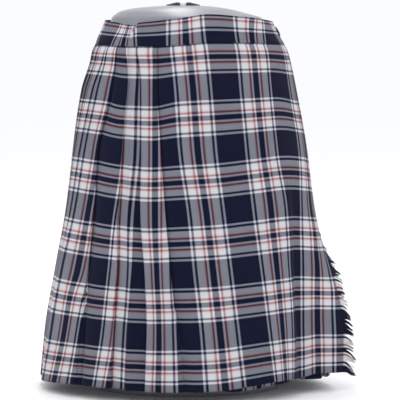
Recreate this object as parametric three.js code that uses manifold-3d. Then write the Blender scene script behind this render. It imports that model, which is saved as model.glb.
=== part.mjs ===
// Wrap skirt on a limbless hip form. Millimetres, +Z up, origin at the centre of the form's flat base.
// The front faces -Y and the over-apron's free, fringed edge is at +X.
// A bearing is the angle round the skirt in degrees: 0 at the front, 90 at +X, 180 at the back.
// The cloth winds round as a spiral, so bearings run on past 360 where the over-apron laps the start.

import * as THREE from 'three';
import { mergeVertices } from 'three/addons/utils/BufferGeometryUtils.js';
import Module from 'manifold-3d';

// Driving dimensions

const CLOTH = 1.0;
const BAND_CLOTH = 1.6;
const SEAM_GAP = 0.35;
const END_GAP = 0.6;
const SEAM_END = 1.2;
const FOLD_CLEARANCE = 0.6;
const ROLL_SHARE = 0.35;

// Depth of a visible face, in steps between layers: where it starts or ends beside a fold, at its
// middle, and where it dips between two folds that both lie over it
const FACE_LAYER = 0.3;
const CROWN_LAYER = -0.1;
const SUNK_LAYER = 1.6;

const BAND_LAP_GAP = 0.4;
const BAND_LAP_DROP = 4;
const BAND_PINCH = 5;
const WAIST_Z = 567;
const HEM_Z = 18;
const BACK_PLEATS = 15;
const LAP_START = 112;
const LAP_END = 128;
const FIRST_PLEAT_BEARING = 76;
const UNDER_START = -42;
const SIDE_SEAM = 62;
const BAND_START = -40;
const BAND_END = 467;
const FRINGE_STRANDS = 120;
const STRAND_LENGTH = 15;
const STRAND_SIDE = 0.84;
const STRIP_WIDTH = 3;
const CAP_RADIUS = 28;
const CAP_HEIGHT = 5.5;
const BOSS_RADIUS = 6;
const BUTTON_RADIUS = 9;
const BUTTON_THICKNESS = 2.4;
const BUTTON_Z = 588;
const FITTING_GAP = 0.4;

// Outer face of the skirt: half widths to each side and half depths, at heights from band to hem
const OUTLINE = [
  { z: 622, left: 130, right: 132, front: 94, back: 94 },
  { z: 608, left: 136, right: 138, front: 98.5, back: 95 },
  { z: 588, left: 144, right: 147, front: 102, back: 99 },
  { z: 580, left: 148, right: 151.5, front: 103.4, back: 101 },
  { z: 568, left: 152.5, right: 159, front: 107, back: 104.5 },
  { z: 558, left: 157.5, right: 164, front: 110, back: 108 },
  { z: 541, left: 161, right: 169, front: 114, back: 116 },
  { z: 494, left: 175.5, right: 179, front: 124, back: 131 },
  { z: 398, left: 190, right: 196.5, front: 133, back: 145 },
  { z: 300, left: 202, right: 208, front: 146, back: 154 },
  { z: 204, left: 219, right: 225, front: 158, back: 164 },
  { z: 105, left: 235.5, right: 236, front: 168, back: 172 },
  { z: 10, left: 244, right: 243, front: 175, back: 180 },
];

// How the layers lie: step from layer to layer in a pleat, width over which a face climbs from under its
// neighbour, depth of the valley beside the loose flap, and how far the left back corner stands out
const DRAPE = [
  { z: 567, step: 1.35, rise: 5, lap: 3.1, valley: 0, corner: 0 },
  { z: 494, step: 2.0, rise: 8, lap: 3.4, valley: 0, corner: 0 },
  { z: 398, step: 2.4, rise: 11, lap: 3.8, valley: 0, corner: 0 },
  { z: 300, step: 2.8, rise: 14, lap: 4.4, valley: 6, corner: 0 },
  { z: 204, step: 3.2, rise: 17, lap: 5.0, valley: 12, corner: 3 },
  { z: 105, step: 3.6, rise: 20, lap: 5.6, valley: 19, corner: 9 },
  { z: 18, step: 4.0, rise: 22, lap: 6.0, valley: 25, corner: 12 },
];

// Bearing of each fold edge at viewer's left, from the side (f5) to the apron (f1)
const FOLD_BEARING = [
  { z: 567, f5: 301, f4: 311.4, f3: 320.7, f2: 328.3, f1: 341.2 },
  { z: 494, f5: 299.5, f4: 314.5, f3: 326.2, f2: 334, f1: 343.6 },
  { z: 398, f5: 294, f4: 309.5, f3: 325.8, f2: 336, f1: 346.6 },
  { z: 300, f5: 289, f4: 310, f3: 325.7, f2: 337.7, f1: 349.5 },
  { z: 204, f5: 283, f4: 311.4, f3: 328.2, f2: 341.4, f1: 352.7 },
  { z: 105, f5: 280, f4: 312, f3: 329, f2: 343.5, f1: 355.4 },
  { z: 18, f5: 273, f4: 311, f3: 329, f2: 343.5, f1: 356.2 },
];

// Underlap hidden behind each fold edge; below zero the fold has opened into a soft step
const UNDERLAP = [
  { z: 567, back: 16, f5: 13, f4: 12, f3: 12, f2: 12, f1: 12 },
  { z: 494, back: 16, f5: 14, f4: 14, f3: 14, f2: 13, f1: 13 },
  { z: 398, back: 15, f5: 14, f4: 12, f3: 14, f2: 13, f1: 12 },
  { z: 300, back: 13, f5: 12, f4: 8, f3: 12, f2: 12, f1: 9 },
  { z: 204, back: 10, f5: 10, f4: 3, f3: 10, f2: 11, f1: 5 },
  { z: 105, back: 8, f5: 8, f4: -5, f3: 8, f2: 10, f1: -4 },
  { z: 18, back: 6, f5: 6, f4: -8, f3: 4, f2: 9, f1: -8 },
];

// Which neighbour lies on top at each front fold: 1 for the face at the left, -1 for the face at the right
const FRONT_FOLDS = [
  { name: 'f5', top: -1 },
  { name: 'f4', top: 1 },
  { name: 'f3', top: 1 },
  { name: 'f2', top: -1 },
];

// Lines down the over-apron, from left to right: where tartan stripe group a starts, where group b starts
// and ends, the bottom of the valley beside the loose flap, the flap's own stripe group, and the free edge
const APRON_LINES = ['a', 'b', 'bEnd', 'valley', 'flap', 'flapMid', 'flapEnd', 'edge'];

// Bearing of those lines
const APRON_BEARING = [
  { z: 567, a: 349, b: 388, bEnd: 413, valley: 423, flap: 432, flapMid: 446, flapEnd: 460, edge: 467 },
  { z: 494, a: 352.7, b: 387.5, bEnd: 409.5, valley: 418, flap: 427, flapMid: 441, flapEnd: 455, edge: 461 },
  { z: 398, a: 355.2, b: 387.8, bEnd: 408, valley: 417, flap: 426, flapMid: 439.5, flapEnd: 453, edge: 459 },
  { z: 300, a: 359.5, b: 389.7, bEnd: 411, valley: 416.7, flap: 422.4, flapMid: 434, flapEnd: 445.9, edge: 451.3 },
  { z: 250, a: 360.9, b: 390.4, bEnd: 409.6, valley: 414.5, flap: 419.7, flapMid: 429.9, flapEnd: 440.8, edge: 445.8 },
  { z: 204, a: 362, b: 391, bEnd: 408, valley: 412.4, flap: 417.4, flapMid: 426.7, flapEnd: 436.8, edge: 441.2 },
  { z: 150, a: 363.5, b: 391.9, bEnd: 407.4, valley: 411.4, flap: 415.8, flapMid: 425.1, flapEnd: 432.2, edge: 436.3 },
  { z: 105, a: 365, b: 393, bEnd: 407, valley: 411.3, flap: 415.2, flapMid: 424.5, flapEnd: 430.6, edge: 433.6 },
  { z: 18, a: 365.9, b: 395, bEnd: 405.5, valley: 411, flap: 416, flapMid: 425, flapEnd: 431.7, edge: 435.1 },
];

// How far those lines stand out from the outline, where they do
const APRON_OUT = [
  { z: 567, a: 0, b: 0, bEnd: 0, valley: 0, flap: 0, flapMid: 0, flapEnd: 0, edge: 0 },
  { z: 398, a: 0, b: 0, bEnd: 0, valley: 0, flap: 0, flapMid: 0, flapEnd: 0, edge: 0 },
  { z: 300, a: 0, b: 0, bEnd: 0, valley: -4, flap: -1.5, flapMid: 2.1, flapEnd: 1.4, edge: 1 },
  { z: 250, a: 0, b: 0, bEnd: 0, valley: -6.7, flap: -5, flapMid: 6.5, flapEnd: 4.2, edge: 2.6 },
  { z: 204, a: 0, b: 0, bEnd: 0, valley: -9.5, flap: -8, flapMid: 6.3, flapEnd: 12.8, edge: 9.5 },
  { z: 150, a: 0, b: 0, bEnd: -0.4, valley: -11, flap: -11, flapMid: 2.4, flapEnd: 23.2, edge: 25.1 },
  { z: 105, a: 0, b: 0, bEnd: -1, valley: -12, flap: -14, flapMid: -1, flapEnd: 22.5, edge: 31.8 },
  { z: 18, a: 0, b: 0, bEnd: -2, valley: -15, flap: -22, flapMid: -7, flapEnd: 15.5, edge: 23.5 },
];

// Edges of the waistband round the body
const BAND_EDGES = [
  { bearing: -180, bottom: 568, top: 606 },
  { bearing: -90, bottom: 568, top: 608 },
  { bearing: -48, bottom: 567, top: 603 },
  { bearing: -33, bottom: 566.5, top: 599.5 },
  { bearing: -25, bottom: 566.5, top: 606 },
  { bearing: -5, bottom: 569, top: 612 },
  { bearing: 14, bottom: 573, top: 618 },
  { bearing: 40, bottom: 572, top: 614 },
  { bearing: 90, bottom: 569, top: 606 },
  { bearing: 180, bottom: 568, top: 606 },
];

// Hem height of the pleated panel and the over-apron along the spiral
const HEM = [
  { bearing: 60, z: 22 },
  { bearing: 80, z: 22 },
  { bearing: 115, z: 18 },
  { bearing: 180, z: 20 },
  { bearing: 240, z: 23 },
  { bearing: 256, z: 23 },
  { bearing: 266, z: 17 },
  { bearing: 273, z: 13.5 },
  { bearing: 290, z: 17 },
  { bearing: 310, z: 21 },
  { bearing: 327, z: 21 },
  { bearing: 340, z: 18 },
  { bearing: 352, z: 17.5 },
  { bearing: 370, z: 19 },
  { bearing: 384, z: 25 },
  { bearing: 393, z: 29 },
  { bearing: 402, z: 30.8 },
  { bearing: 416, z: 27.5 },
  { bearing: 425, z: 32.5 },
  { bearing: 435.1, z: 32 },
];

// Hip form: half width and half depth at each height, and how far each level's centre lies to the side
const FORM = [
  { z: 0, width: 150, depth: 108, shift: 0 },
  { z: 105, width: 156, depth: 112, shift: 0 },
  { z: 204, width: 163, depth: 117, shift: 0 },
  { z: 300, width: 169, depth: 121, shift: 0 },
  { z: 398, width: 171, depth: 121, shift: 0 },
  { z: 494, width: 163, depth: 114, shift: 0 },
  { z: 541, width: 151, depth: 104, shift: 0 },
  { z: 567, width: 146.8, depth: 99.4, shift: 0 },
  { z: 580, width: 145.7, depth: 98.7, shift: 0 },
  { z: 592, width: 138, depth: 94.5, shift: 0 },
  { z: 606, width: 127.5, depth: 90, shift: 0 },
  { z: 613, width: 121.5, depth: 86, shift: -3 },
  { z: 619, width: 107, depth: 77, shift: -10 },
  { z: 623, width: 96, depth: 69, shift: -14 },
  { z: 627, width: 78, depth: 58, shift: -14 },
  { z: 630, width: 54, depth: 46, shift: -11 },
  { z: 631.5, width: 34, depth: 33, shift: -8 },
];

const skirt = new THREE.Group();

// Smooth curve through a table's rows: the value of one column at a place along the key column
function tween(table, key, column, place) {
  const rising = table[1][key] > table[0][key];
  const rows = rising ? table : [...table].reverse();
  const last = rows.length - 1;
  if (place <= rows[0][key]) return rows[0][column];
  if (place >= rows[last][key]) return rows[last][column];
  const i = rows.findIndex((row, n) => n < last && place <= rows[n + 1][key]);
  const span = rows[i + 1][key] - rows[i][key];
  const slope = (a, b) => (rows[b][column] - rows[a][column]) / (rows[b][key] - rows[a][key]);
  const here = slope(i, i + 1);
  const soften = (other) => (here * other > 0 ? (2 * here * other) / (here + other) : 0);
  const m0 = i > 0 ? soften(slope(i - 1, i)) : here;
  const m1 = i + 1 < last ? soften(slope(i + 1, i + 2)) : here;
  const f = (place - rows[i][key]) / span;
  const blend = f * f * (3 - 2 * f);
  const base = rows[i][column] + (rows[i + 1][column] - rows[i][column]) * blend;
  return base + f * (1 - f) * span * ((1 - f) * m0 - f * m1);
}

const atHeight = (table, column, z) => tween(table, 'z', column, z);
const smooth = (from, to, value) => THREE.MathUtils.smoothstep(value, from, to);
const hump = (centre, width, value) => Math.exp(-(((value - centre) / width) ** 2));

// Bearing brought into the range -180 to 180
function turn(bearing) {
  return THREE.MathUtils.euclideanModulo(bearing + 180, 360) - 180;
}

// Point of the outline at a bearing and height, moved out by a distance
function onOutline(bearing, z, out) {
  const angle = THREE.MathUtils.degToRad(bearing);
  const sin = Math.sin(angle);
  const cos = Math.cos(angle);
  const a = atHeight(OUTLINE, sin < 0 ? 'left' : 'right', z);
  const b = atHeight(OUTLINE, cos > 0 ? 'front' : 'back', z);
  const normal = new THREE.Vector2(sin / a, -cos / b).normalize();
  return new THREE.Vector2(a * sin + normal.x * out, -b * cos + normal.y * out);
}

// Degrees of bearing that a length along the outline takes
function degrees(length, bearing, z) {
  const step = 0.5;
  const from = onOutline(bearing - step, z, 0);
  const to = onOutline(bearing + step, z, 0);
  return length / from.distanceTo(to);
}

// Bearings that split the outline between two bearings into equal lengths
function evenBearings(from, to, count, z) {
  const samples = 90;
  const lengths = [0];
  for (let i = 1; i <= samples; i += 1) {
    const a = onOutline(from + ((to - from) * (i - 1)) / samples, z, 0);
    const b = onOutline(from + ((to - from) * i) / samples, z, 0);
    lengths.push(lengths[i - 1] + a.distanceTo(b));
  }
  const bearings = [];
  for (let n = 0; n < count; n += 1) {
    const goal = (lengths[samples] * n) / count;
    const i = Math.max(1, lengths.findIndex((length) => length >= goal));
    const part = (goal - lengths[i - 1]) / (lengths[i] - lengths[i - 1]);
    bearings.push(from + ((to - from) * (i - 1 + part)) / samples);
  }
  return bearings;
}

// Closed wall from a grid of middle points: row(i) gives one row as [{ x, y, z }], left to right seen
// from outside; each point moves half the thickness out and in, square to the row
function wall(name, rowCount, row, thickness, material) {
  const rows = Array.from({ length: rowCount }, (unused, i) => row(i));
  const columns = rows[0].length;
  const sides = rows.map((points) => points.map((point, j) => {
    const before = points[Math.max(j - 1, 0)];
    const after = points[Math.min(j + 1, columns - 1)];
    const into = new THREE.Vector2(point.x - before.x, point.y - before.y);
    const away = new THREE.Vector2(after.x - point.x, after.y - point.y);
    if (into.length() === 0) into.copy(away);
    if (away.length() === 0) away.copy(into);
    into.normalize();
    away.normalize();
    const along = into.clone().add(away).normalize();
    const mitre = Math.min(1.3, 1 / Math.max(along.dot(into), 0.5));
    return new THREE.Vector2(along.y, -along.x).multiplyScalar((mitre * thickness) / 2);
  }));
  const geometry = new THREE.BoxGeometry(1, 1, 1, columns - 1, rowCount - 1, 1);
  const position = geometry.attributes.position;
  for (let n = 0; n < position.count; n += 1) {
    const j = Math.round((position.getX(n) + 0.5) * (columns - 1));
    const i = Math.round((0.5 - position.getY(n)) * (rowCount - 1));
    const side = Math.sign(position.getZ(n));
    const point = rows[i][j];
    const shift = sides[i][j];
    position.setXYZ(n, point.x + shift.x * side, point.y + shift.y * side, point.z);
  }
  return solid(name, geometry, material);
}

// Geometry with shared vertices only, as a closed body
function weld(geometry) {
  geometry.deleteAttribute('normal');
  geometry.deleteAttribute('uv');
  return mergeVertices(geometry, 1e-4);
}

function solid(name, geometry, material) {
  const welded = weld(geometry);
  welded.computeVertexNormals();
  const mesh = new THREE.Mesh(welded, material);
  mesh.name = name;
  skirt.add(mesh);
  return mesh;
}

function finish(color, roughness) {
  return new THREE.MeshStandardMaterial({ color, roughness, metalness: 0 });
}

// Heights of the rows of points down the skirt; the first follows the band and the last the hem
const ROW_HEIGHTS = [WAIST_Z, 556, 520, 460, 398, 300, 204, 150, 105, HEM_Z];

function rowHeight(i, bearing, hemTable) {
  if (i === 0) return tween(BAND_EDGES, 'bearing', 'bottom', turn(bearing)) - SEAM_GAP;
  if (i === ROW_HEIGHTS.length - 1) return tween(hemTable, 'bearing', 'z', bearing);
  return ROW_HEIGHTS[i];
}

// Middle point of the cloth at a bearing and a distance under the outline
function clothPoint(bearing, out, i, hemTable) {
  const z = rowHeight(i, bearing, hemTable);
  const plan = onOutline(bearing, z, out - CLOTH / 2);
  return { x: plan.x, y: plan.y, z };
}

// Depth at which the inner layers lie, with the valley beside the flap
function valleyDepth(bearing, z) {
  return atHeight(DRAPE, 'valley', z) * hump(55, 9, turn(bearing));
}

// Pleated panel: at each fold the cloth turns back under the upper face and forward again
function pleatRow(i) {
  const z = ROW_HEIGHTS[i];
  const step = atHeight(DRAPE, 'step', z);
  const rise = atHeight(DRAPE, 'rise', z);
  const corner = atHeight(DRAPE, 'corner', z);
  const lapDepth = atHeight(DRAPE, 'lap', z);
  const points = [];
  const add = (bearing, shift, layer) => {
    const place = bearing + degrees(shift, bearing, z);
    const lapped = 1 - smooth(LAP_START, LAP_END, place);
    const face = corner * hump(252, 12, place) - lapDepth * lapped - valleyDepth(place, z);
    points.push(clothPoint(place, face - layer * step, i, HEM));
  };
  const folds = [];
  const side = atHeight(FOLD_BEARING, 'f5', z);
  for (const bearing of evenBearings(FIRST_PLEAT_BEARING, side, BACK_PLEATS, z)) {
    folds.push({ bearing, top: -1, underlap: atHeight(UNDERLAP, 'back', z) });
  }
  for (const { name, top } of FRONT_FOLDS) {
    const bearing = atHeight(FOLD_BEARING, name, z);
    folds.push({ bearing, top, underlap: atHeight(UNDERLAP, name, z) });
  }
  const roll = ROLL_SHARE * step;
  add(SIDE_SEAM, 0, 2);
  let low = true;
  let before = SIDE_SEAM;
  for (const fold of folds) {
    const next = fold.bearing;
    const hand = fold.top;
    const closed = THREE.MathUtils.clamp(fold.underlap / 4, -1, 1);
    const sunk = low && hand < 0 && before > side;
    if (low) add(before, rise, sunk ? SUNK_LAYER : FACE_LAYER);
    else add((before + next) / 2, 0, CROWN_LAYER);
    if (hand < 0) {
      add(next, -rise, sunk ? SUNK_LAYER : FACE_LAYER);
      add(next, -FOLD_CLEARANCE, 2);
    } else {
      add((before + next) / 2, 0, 0);
    }
    const turnBack = [
      { shift: -roll, layer: 0 },
      { shift: 0, layer: 0.5 },
      { shift: -roll * closed, layer: 1 },
      { shift: -fold.underlap + roll * closed, layer: 1 },
      { shift: -fold.underlap, layer: 1.5 },
      { shift: -fold.underlap + roll, layer: 2 },
    ];
    if (hand < 0) turnBack.reverse();
    for (const { shift, layer } of turnBack) add(next, shift * hand, layer);
    low = hand > 0;
    if (low) add(next, Math.max(0, roll - fold.underlap) + FOLD_CLEARANCE, 2);
    before = next;
  }
  const last = atHeight(FOLD_BEARING, 'f1', z);
  const underlap = atHeight(UNDERLAP, 'f1', z);
  const closed = THREE.MathUtils.clamp(underlap / 4, -1, 1);
  add((before + last) / 2, 0, CROWN_LAYER);
  add(last, -roll, 0);
  add(last, 0, 0.5);
  add(last, -roll * closed, 1);
  add(last, -underlap + roll * closed, 1);
  add(last, -underlap, 1.5);
  add(last, -underlap + roll, 2);
  add(last, -underlap + roll + SEAM_END, 2);
  return points;
}

// Over-apron: from under the last fold, flat across the front, into the valley and out to the free edge
const APRON_COLUMNS = 34;

function apronRow(i) {
  const z = ROW_HEIGHTS[i];
  const step = atHeight(DRAPE, 'step', z);
  const rise = atHeight(DRAPE, 'rise', z);
  const fold = atHeight(FOLD_BEARING, 'f1', z);
  const start = -atHeight(UNDERLAP, 'f1', z) + ROLL_SHARE * step + SEAM_END + END_GAP;
  const under = Math.max(start + 1.5, FOLD_CLEARANCE);
  const stops = [
    { bearing: fold + degrees(start, fold, z), out: -2 * step },
    { bearing: fold + degrees(under, fold, z), out: -2 * step },
    { bearing: fold + degrees(under + rise * 0.7, fold, z), out: -FACE_LAYER * step },
  ];
  for (const line of APRON_LINES) {
    stops.push({ bearing: atHeight(APRON_BEARING, line, z), out: atHeight(APRON_OUT, line, z) });
  }
  const route = new THREE.CatmullRomCurve3(
    stops.map(({ bearing, out }) => new THREE.Vector3(bearing, out, 0)),
    false,
    'catmullrom',
    0.35,
  );
  const points = [];
  for (let j = 0; j < APRON_COLUMNS; j += 1) {
    const place = route.getPoint(j / (APRON_COLUMNS - 1));
    points.push(clothPoint(place.x, place.y, i, HEM));
  }
  return points;
}

// Under-apron: plain panel behind the over-apron, joined to the pleated panel at the side seam
const UNDER_COLUMNS = 22;
const UNDER_HEM = [
  { bearing: UNDER_START, z: 23 },
  { bearing: 8, z: 21 },
  { bearing: 18, z: 16 },
  { bearing: 28, z: 19 },
  { bearing: 38, z: 23.5 },
  { bearing: 48, z: 24.5 },
  { bearing: SIDE_SEAM, z: 22 },
];

function underRow(i) {
  const z = ROW_HEIGHTS[i];
  const step = atHeight(DRAPE, 'step', z);
  const atTop = smooth(541, 560, z);
  const points = [];
  for (let j = 0; j < UNDER_COLUMNS; j += 1) {
    const bearing = THREE.MathUtils.lerp(UNDER_START, SIDE_SEAM, j / (UNDER_COLUMNS - 1));
    const place = Math.min(bearing, SIDE_SEAM - degrees(END_GAP, SIDE_SEAM, z));
    const lap = atHeight(DRAPE, 'lap', z) * smooth(40, SIDE_SEAM, bearing);
    const deep = 2 * step + Math.max(CLOTH + SEAM_GAP + 0.8 * (1 - atTop), lap);
    const tucked = atTop * smooth(-12, -2, bearing) * (1 - smooth(40, 55, bearing));
    const depth = THREE.MathUtils.lerp(deep, 3, tucked);
    points.push(clothPoint(place, -depth - valleyDepth(bearing, z), i, UNDER_HEM));
  }
  return points;
}

// Waistband: one strip that starts under the front and ends at the wearer's left side
const BAND_COLUMNS = 76;
const BAND_ROWS = 4;

function bandRow(i) {
  const points = [];
  for (let j = 0; j < BAND_COLUMNS; j += 1) {
    const bearing = THREE.MathUtils.lerp(BAND_START, BAND_END, j / (BAND_COLUMNS - 1));
    const t = turn(bearing);
    const down = i / (BAND_ROWS - 1);
    const inner = 1 - smooth(LAP_START, LAP_END, bearing);
    const top = tween(BAND_EDGES, 'bearing', 'top', t) - inner * BAND_LAP_DROP;
    const z = THREE.MathUtils.lerp(top, tween(BAND_EDGES, 'bearing', 'bottom', t), down);
    const pinch = BAND_PINCH * hump(-33, 5, t) * (1 - down) * (1 - inner);
    const out = -BAND_CLOTH / 2 - (BAND_CLOTH + BAND_LAP_GAP) * inner - pinch;
    const plan = onOutline(bearing, z, out);
    points.push({ x: plan.x, y: plan.y, z });
  }
  return points;
}

// Hip form: a smooth closed body on a flat base, with a level top where the fitting sits
function hipForm(material) {
  const levels = FORM.length - 1;
  const geometry = new THREE.CylinderGeometry(1, 1, 1, 44, levels, false);
  const position = geometry.attributes.position;
  for (let n = 0; n < position.count; n += 1) {
    const level = FORM[Math.round((position.getY(n) + 0.5) * levels)];
    const x = level.shift + level.width * position.getX(n);
    position.setXYZ(n, x, -level.depth * position.getZ(n), level.z);
  }
  return solid('hip_form', geometry, material);
}

// Fitting on the form's top: a low cap with a hole, and a boss standing in the hole
function formFitting(capMaterial, bossMaterial) {
  const seat = FORM[FORM.length - 1];
  const z = seat.z + SEAM_GAP;
  const hole = BOSS_RADIUS + FITTING_GAP;
  const profile = [
    new THREE.Vector2(hole, 0),
    new THREE.Vector2(CAP_RADIUS, 0),
    new THREE.Vector2(CAP_RADIUS, CAP_HEIGHT * 0.35),
    new THREE.Vector2(CAP_RADIUS * 0.72, CAP_HEIGHT),
    new THREE.Vector2(hole, CAP_HEIGHT * 0.8),
    new THREE.Vector2(hole, 0),
  ];
  const cap = solid('form_cap', new THREE.LatheGeometry(profile, 28), capMaterial);
  cap.rotation.x = Math.PI / 2;
  cap.position.set(seat.shift, 0, z);
  const bossHeight = CAP_HEIGHT * 0.7;
  const bossGeometry = new THREE.CylinderGeometry(BOSS_RADIUS, BOSS_RADIUS, bossHeight, 20);
  const boss = solid('form_boss', bossGeometry, bossMaterial);
  boss.rotation.x = Math.PI / 2;
  boss.position.set(seat.shift, 0, z + bossHeight / 2);
}

// Self fringe: weft ends that stand free of the over-apron's edge, rooted in a narrow strip beside it
async function fringe(material) {
  const wasm = await Module();
  wasm.setup();
  const toManifold = (geometry) => new wasm.Manifold(new wasm.Mesh({
    numProp: 3,
    vertProperties: new Float32Array(geometry.attributes.position.array),
    triVerts: new Uint32Array(geometry.index.array),
  }));
  const edges = ROW_HEIGHTS.map((unused, i) => {
    const row = apronRow(i);
    const last = row[row.length - 1];
    const before = row[row.length - 2];
    const along = new THREE.Vector3(last.x - before.x, last.y - before.y, 0).normalize();
    return { z: last.z, x: last.x, y: last.y, alongX: along.x, alongY: along.y };
  });
  const edgeAt = (z) => {
    const i = Math.max(0, edges.findIndex((unused, n) => n + 1 === edges.length - 1 || edges[n + 1].z <= z));
    const part = (z - edges[i].z) / (edges[i + 1].z - edges[i].z);
    const value = (column) => THREE.MathUtils.lerp(edges[i][column], edges[i + 1][column], part);
    const along = new THREE.Vector3(value('alongX'), value('alongY'), 0).normalize();
    return { point: new THREE.Vector3(value('x'), value('y'), z), along };
  };
  const topZ = edges[0].z;
  const bottomZ = edges[edges.length - 1].z;
  const strip = wall('strip', edges.length, (i) => {
    const { point, along } = edgeAt(edges[i].z);
    return [SEAM_GAP, STRIP_WIDTH].map((reach) => point.clone().addScaledVector(along, reach));
  }, CLOTH, material);
  skirt.remove(strip);
  let body = toManifold(strip.geometry);
  for (let n = 0; n < FRINGE_STRANDS; n += 1) {
    const share = (n + 0.5) / FRINGE_STRANDS;
    const z = THREE.MathUtils.lerp(topZ - 1.5, bottomZ + 1.5, share);
    const { point, along } = edgeAt(z);
    const outward = new THREE.Vector3(along.y, -along.x, 0);
    const length = STRAND_LENGTH * (1 + 0.22 * Math.sin(n * 2.4) + 0.1 * Math.sin(n * 5.1));
    const droop = 0.5 + 0.06 * Math.sin(n * 1.7);
    const strand = new THREE.CylinderGeometry(0.35, 1, 1, 3, 1, false);
    const position = strand.attributes.position;
    const radius = STRAND_SIDE / Math.sqrt(3);
    for (let k = 0; k < position.count; k += 1) {
      const t = position.getY(k) + 0.5;
      const reach = STRIP_WIDTH - 1.6 + length * t;
      const drop = droop * length * t * t;
      const spot = point.clone().addScaledVector(along, reach);
      spot.addScaledVector(outward, position.getX(k) * radius);
      spot.z += position.getZ(k) * radius - drop;
      position.setXYZ(k, spot.x, spot.y, spot.z);
    }
    body = body.add(toManifold(weld(strand)));
  }
  const mesh = body.getMesh();
  const geometry = new THREE.BufferGeometry();
  geometry.setAttribute('position', new THREE.BufferAttribute(new Float32Array(mesh.vertProperties), 3));
  geometry.setIndex(new THREE.BufferAttribute(new Uint32Array(mesh.triVerts), 1));
  return solid('apron_fringe', geometry, material);
}

// Button near the band's end: a plain flat disc on the band
function waistButton(material) {
  const bearing = BAND_END - 10;
  const z = BUTTON_Z;
  const spot = (turned, height) => {
    const plan = onOutline(turned, height, 0);
    return new THREE.Vector3(plan.x, plan.y, height);
  };
  const round = spot(bearing + 3, z).sub(spot(bearing - 3, z));
  const up = spot(bearing, z + BUTTON_RADIUS).sub(spot(bearing, z - BUTTON_RADIUS));
  const facing = round.cross(up).normalize();
  const centre = spot(bearing, z).addScaledVector(facing, 0.6 + BUTTON_THICKNESS / 2);
  const geometry = new THREE.CylinderGeometry(BUTTON_RADIUS, BUTTON_RADIUS, BUTTON_THICKNESS, 20);
  const button = solid('waist_button', geometry, material);
  button.quaternion.setFromUnitVectors(new THREE.Vector3(0, 1, 0), facing);
  button.position.copy(centre);
}

const tartan = finish(0x3a4058, 0.85);
const underTartan = finish(0x333951, 0.85);
const bandTartan = finish(0x474c60, 0.85);
const threads = finish(0x8a8d98, 0.9);
const formPlastic = finish(0xb9bbc4, 0.35);
const capPlastic = finish(0x55575c, 0.5);
const bossPlastic = finish(0xe6e6e6, 0.5);
const buttonPlastic = finish(0x1d2238, 0.35);

hipForm(formPlastic);
formFitting(capPlastic, bossPlastic);
wall('pleated_panel', ROW_HEIGHTS.length, pleatRow, CLOTH, tartan);
wall('over_apron', ROW_HEIGHTS.length, apronRow, CLOTH, tartan);
wall('under_apron', ROW_HEIGHTS.length, underRow, CLOTH, underTartan);
wall('waistband', BAND_ROWS, bandRow, BAND_CLOTH, bandTartan);
await fringe(threads);
waistButton(buttonPlastic);

export default skirt;
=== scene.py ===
"""Wrap skirt on a limbless hip form: the looks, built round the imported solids.

Sizes are in millimetres until a piece is placed. A bearing is the angle round the skirt in degrees:
0 at the front, 90 at +X, 180 at the back. The cloth winds on past 360 where the apron laps over.
"""

import math

import bmesh
import bpy
from mathutils import Matrix, Vector


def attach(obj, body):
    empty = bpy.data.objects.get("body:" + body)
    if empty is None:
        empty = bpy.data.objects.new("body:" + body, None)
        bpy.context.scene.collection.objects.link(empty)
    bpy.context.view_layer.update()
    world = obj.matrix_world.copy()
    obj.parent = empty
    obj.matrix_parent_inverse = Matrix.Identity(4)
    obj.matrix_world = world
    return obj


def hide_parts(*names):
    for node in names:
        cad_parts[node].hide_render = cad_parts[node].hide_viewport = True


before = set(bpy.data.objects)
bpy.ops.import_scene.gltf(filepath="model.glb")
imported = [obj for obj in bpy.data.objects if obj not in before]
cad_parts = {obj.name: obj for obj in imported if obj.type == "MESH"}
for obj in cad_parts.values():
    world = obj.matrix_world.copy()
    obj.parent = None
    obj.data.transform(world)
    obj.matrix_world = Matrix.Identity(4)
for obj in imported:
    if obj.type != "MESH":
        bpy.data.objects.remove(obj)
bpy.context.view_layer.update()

# ----------------------------------------------------------
# Camera: as high as the form's top and 3.9 m in front, aimed a little down at the skirt's middle.

MM = 0.001
CAMERA_PLACE = (0, -3900, 641)
CAMERA_TARGET = (19.9, 0, 311.3)
CAMERA_ANGLE = 9.665


def aim(obj, place, target):
    """Adds a camera or light at a place, looking at a target."""
    obj.location = Vector(place) * MM
    facing = (Vector(target) - Vector(place)).to_track_quat("-Z", "Y")
    obj.rotation_euler = facing.to_euler()
    bpy.context.scene.collection.objects.link(obj)


camera = bpy.data.objects.new("camera", bpy.data.cameras.new("camera"))
camera.data.sensor_fit = "HORIZONTAL"
camera.data.angle = math.radians(CAMERA_ANGLE)
aim(camera, CAMERA_PLACE, CAMERA_TARGET)
bpy.context.scene.camera = camera

# ----------------------------------------------------------
# Hip form: a display form with no limbs, blow-moulded in pale grey plastic with a satin skin.
# Only its rounded top shows above the waistband. It stands inside the skirt on a flat base.


def table(columns, *rows):
    """Rows of values under named columns, in millimetres and degrees unless it says otherwise."""
    names = columns.split()
    return [dict(zip(names, row)) for row in rows]


# The form's half width and half depth at each height, and its middle's shift towards +X
FORM = table(
    "z width depth shift",
    (0, 150, 108, 0),
    (105, 156, 112, 0),
    (204, 163, 117, 0),
    (300, 169, 121, 0),
    (398, 171, 121, 0),
    (494, 163, 114, 0),
    (541, 151, 104, 0),
    (567, 146.8, 99.4, 0),
    (580, 145.7, 98.7, 0),
    (592, 138, 94.5, 0),
    (606, 127.5, 90, 0),
    (613, 121.5, 86, -3),
    (619, 107, 77, -10),
    (623, 96, 69, -14),
    (627, 78, 58, -14),
    (630, 54, 46, -11),
    (631.5, 34, 33, -8),
)


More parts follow.
